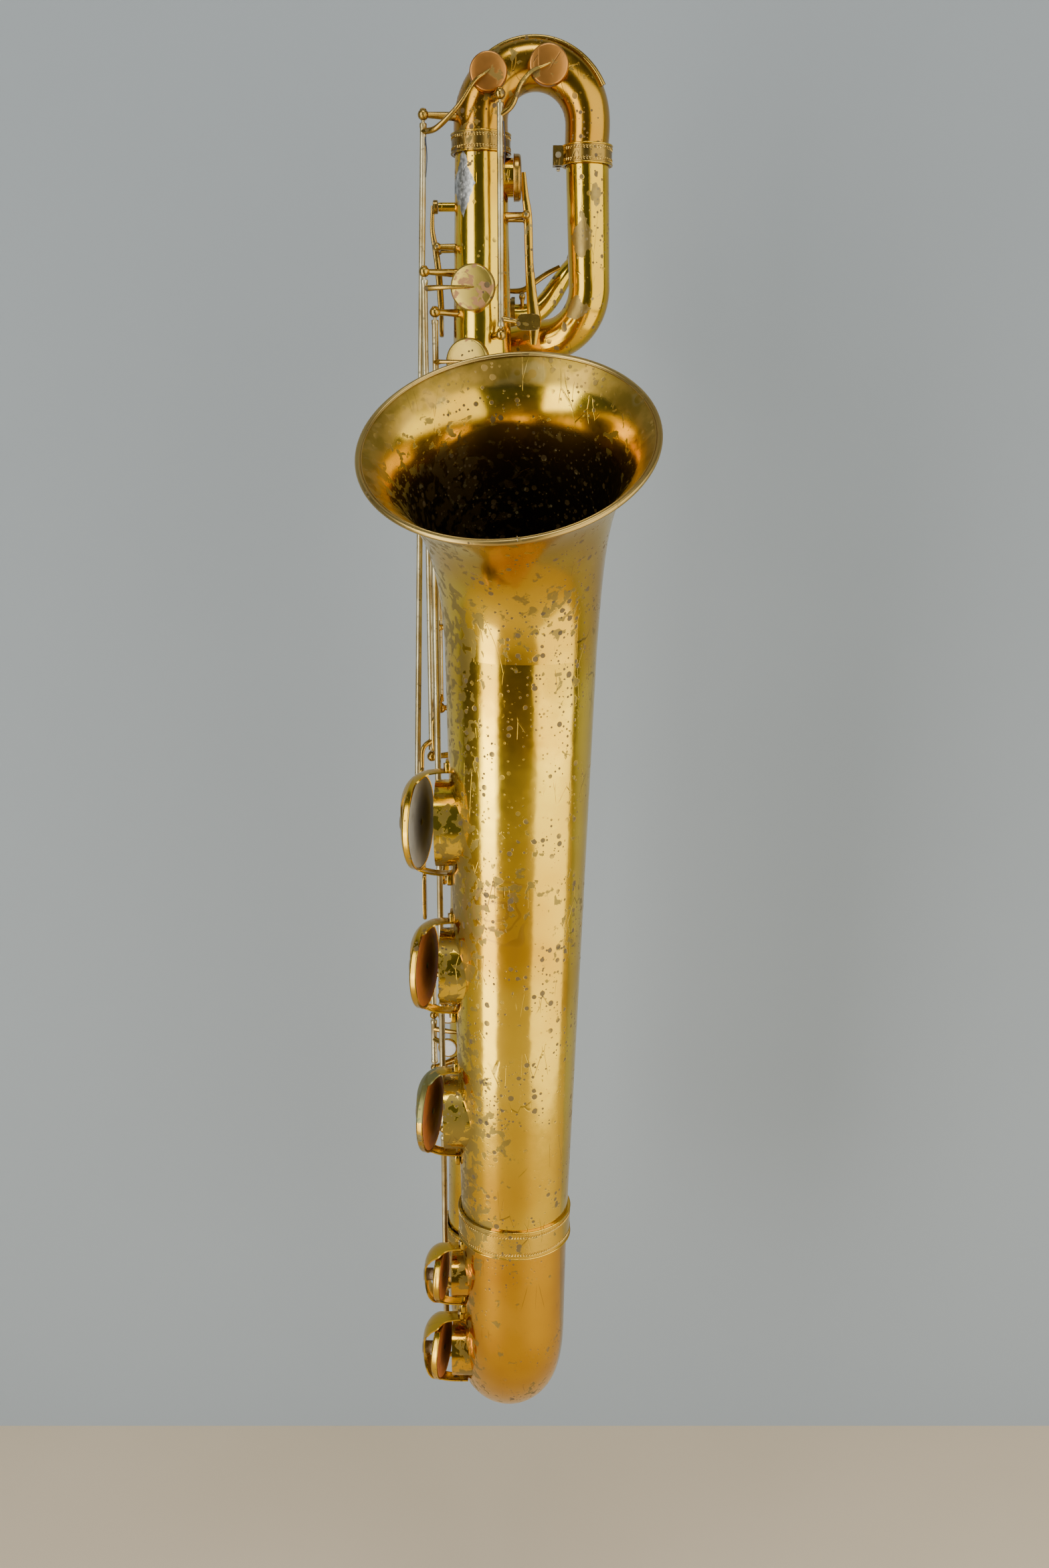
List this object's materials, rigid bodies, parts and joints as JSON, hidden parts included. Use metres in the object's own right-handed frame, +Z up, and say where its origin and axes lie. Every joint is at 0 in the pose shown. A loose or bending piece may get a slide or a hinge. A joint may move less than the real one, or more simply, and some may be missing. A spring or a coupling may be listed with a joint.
{
  "type": "saxophone",
  "caption": "Low-pitched brass saxophone with a doubled upper bow, forward-flaring bell, guarded low-key cups on one side, long hinge rods, neck and mouthpiece.",
  "frame": {"origin": "centre of the strap ring's hole, on the player's side of the body tube", "axes": "+Z up along the body tube towards the upper bow, -Y towards the bell, -X towards the low-key cups"},
  "size_m": [0.1992, 0.509, 1.0973],
  "materials": {
    "tube_brass": "aged lacquer, glossy with dark pits",
    "key_brass": "worn lacquer, satin",
    "ring_brass": "engraved, unpolished",
    "rod_steel": "dull steel",
    "pad_leather": "matt",
    "pearl": "polished mother-of-pearl",
    "felt": "felt",
    "cork": "matt cork",
    "ebonite": "polished",
    "cane": "scraped cane"
  },
  "bodies": {
    "instrument": {"ball_posts": "key_brass", "bell": "tube_brass", "bell_brace": "key_brass", "bell_rim": "tube_brass", "body_tube": "tube_brass", "bottom_bow": "tube_brass", "bow_guard_wire": "ring_brass", "bow_rings": "ring_brass", "clamp_screws": "key_brass", "ferrules": "ring_brass", "guard_bumpers": "felt", "guard_screws": "key_brass", "hinge_rods": "rod_steel", "key_guards": "key_brass", "ligature": "key_brass", "loop_tube": "tube_brass", "lyre_socket": "key_brass", "mouthpiece": "ebonite", "neck": "tube_brass", "neck_cork": "cork", "neck_receiver": "ring_brass", "reed": "cane", "strap_ring": "key_brass", "thumb_hook": "key_brass", "thumb_rest": "key_brass", "upper_bow": "tube_brass"},
    "low_a_key": {"low_a_key": "key_brass", "low_a_pad": "pad_leather"},
    "low_bflat_key": {"low_bflat_key": "key_brass", "low_bflat_pad": "pad_leather"},
    "low_b_key": {"low_b_key": "key_brass", "low_b_pad": "pad_leather"},
    "low_csharp_key": {"low_csharp_key": "key_brass", "low_csharp_pad": "pad_leather"},
    "low_c_key": {"low_c_key": "key_brass", "low_c_pad": "pad_leather"},
    "f_key": {"f_key": "key_brass", "f_pad": "pad_leather", "f_pearl": "pearl"},
    "e_key": {"e_key": "key_brass", "e_pad": "pad_leather", "e_pearl": "pearl"},
    "d_key": {"d_key": "key_brass", "d_pad": "pad_leather", "d_pearl": "pearl"},
    "b_key": {"b_key": "key_brass"},
    "a_key": {"a_key": "key_brass"},
    "g_key": {"g_key": "key_brass"},
    "side_c_key": {"side_c_key": "key_brass", "side_c_pad": "pad_leather"},
    "side_bflat_key": {"side_bflat_key": "key_brass", "side_bflat_pad": "pad_leather"},
    "high_e_key": {"high_e_key": "key_brass", "high_e_pad": "pad_leather"},
    "high_f_key": {"high_f_key": "key_brass", "high_f_pad": "pad_leather"},
    "palm_d_key": {"palm_d_key": "key_brass", "palm_d_pad": "pad_leather"},
    "octave_key": {"octave_key": "key_brass"},
    "neck_octave_key": {"neck_octave_key": "key_brass"}
  },
  "joints": [
    {"name": "low_a_key_hinge", "type": "hinge", "parent": "instrument", "child": "low_a_key", "pos_m": [-0.034, -0.1262, -0.003], "axis": [0, 0, 1], "range_deg": [0, 12], "stiffness_Nm_per_rad": 0.12, "springref_deg": -22.92},
    {"name": "low_bflat_key_hinge", "type": "hinge", "parent": "instrument", "child": "low_bflat_key", "pos_m": [-0.034, -0.1262, -0.19], "axis": [0, 0, 1], "range_deg": [0, 12], "stiffness_Nm_per_rad": 0.12, "springref_deg": -22.92},
    {"name": "low_b_key_hinge", "type": "hinge", "parent": "instrument", "child": "low_b_key", "pos_m": [-0.034, -0.1262, -0.307], "axis": [0, 0, 1], "range_deg": [0, 12], "stiffness_Nm_per_rad": 0.12, "springref_deg": -22.92},
    {"name": "low_csharp_key_hinge", "type": "hinge", "parent": "instrument", "child": "low_csharp_key", "pos_m": [-0.034, -0.1262, -0.438], "axis": [0, 0, 1], "range_deg": [0, 9], "stiffness_Nm_per_rad": 0.12, "springref_deg": -22.92},
    {"name": "low_c_key_hinge", "type": "hinge", "parent": "instrument", "child": "low_c_key", "pos_m": [-0.034, -0.1262, -0.545], "axis": [0, 0, 1], "range_deg": [0, 12], "stiffness_Nm_per_rad": 0.12, "springref_deg": -22.92},
    {"name": "f_key_hinge", "type": "hinge", "parent": "instrument", "child": "f_key", "pos_m": [-0.044, -0.0782, -0.253], "axis": [0, 0, 1], "range_deg": [0, 7.5], "stiffness_Nm_per_rad": 0.12, "springref_deg": -22.92},
    {"name": "e_key_hinge", "type": "hinge", "parent": "instrument", "child": "e_key", "pos_m": [-0.044, -0.0782, -0.3095], "axis": [0, 0, 1], "range_deg": [0, 7.5], "stiffness_Nm_per_rad": 0.12, "springref_deg": -22.92},
    {"name": "d_key_hinge", "type": "hinge", "parent": "instrument", "child": "d_key", "pos_m": [-0.044, -0.0782, -0.3575], "axis": [0, 0, 1], "range_deg": [0, 7.5], "stiffness_Nm_per_rad": 0.12, "springref_deg": -22.92},
    {"name": "b_key_hinge", "type": "hinge", "parent": "instrument", "child": "b_key", "pos_m": [-0.036, -0.0712, 0.172], "axis": [0, 0, 1], "range_deg": [0, 7], "stiffness_Nm_per_rad": 0.12, "springref_deg": -22.92},
    {"name": "a_key_hinge", "type": "hinge", "parent": "instrument", "child": "a_key", "pos_m": [-0.036, -0.0712, 0.1215], "axis": [0, 0, 1], "range_deg": [0, 7], "stiffness_Nm_per_rad": 0.12, "springref_deg": -22.92},
    {"name": "g_key_hinge", "type": "hinge", "parent": "instrument", "child": "g_key", "pos_m": [-0.036, -0.0712, 0.0695], "axis": [0, 0, 1], "range_deg": [0, 7], "stiffness_Nm_per_rad": 0.12, "springref_deg": -22.92},
    {"name": "side_c_key_hinge", "type": "hinge", "parent": "instrument", "child": "side_c_key", "pos_m": [-0.04314, -0.05837, 0.1225], "axis": [0, 0, 1], "range_deg": [-9, 0], "stiffness_Nm_per_rad": 0.12, "springref_deg": 22.92},
    {"name": "side_bflat_key_hinge", "type": "hinge", "parent": "instrument", "child": "side_bflat_key", "pos_m": [-0.03553, -0.05686, 0.128], "axis": [0, 0, 1], "range_deg": [-9, 0], "stiffness_Nm_per_rad": 0.12, "springref_deg": 22.92},
    {"name": "high_e_key_hinge", "type": "hinge", "parent": "instrument", "child": "high_e_key", "pos_m": [-0.0497, -0.0502, 0.148], "axis": [0.0265, 0, 0.9996], "range_deg": [-9, 0], "stiffness_Nm_per_rad": 0.12, "springref_deg": 22.92},
    {"name": "high_f_key_hinge", "type": "hinge", "parent": "instrument", "child": "high_f_key", "pos_m": [0.015, -0.0702, 0.348], "axis": [0, 0, 1], "range_deg": [-9, 0], "stiffness_Nm_per_rad": 0.12, "springref_deg": 22.92},
    {"name": "palm_d_key_hinge", "type": "hinge", "parent": "instrument", "child": "palm_d_key", "pos_m": [0.034, -0.0382, 0.352], "axis": [0, 1, 0], "range_deg": [0, 8], "stiffness_Nm_per_rad": 0.12, "springref_deg": -22.92},
    {"name": "octave_key_hinge", "type": "hinge", "parent": "instrument", "child": "octave_key", "pos_m": [-0.034, -0.0332, 0.33], "axis": [0, 1, 0], "range_deg": [-6, 0], "stiffness_Nm_per_rad": 0.12, "springref_deg": 22.92},
    {"name": "neck_octave_key_hinge", "type": "hinge", "parent": "instrument", "child": "neck_octave_key", "pos_m": [0.031, 0.0388, 0.3015], "axis": [0, 1, 0], "range_deg": [-3, 0], "stiffness_Nm_per_rad": 0.12, "springref_deg": 22.92}
  ]
}
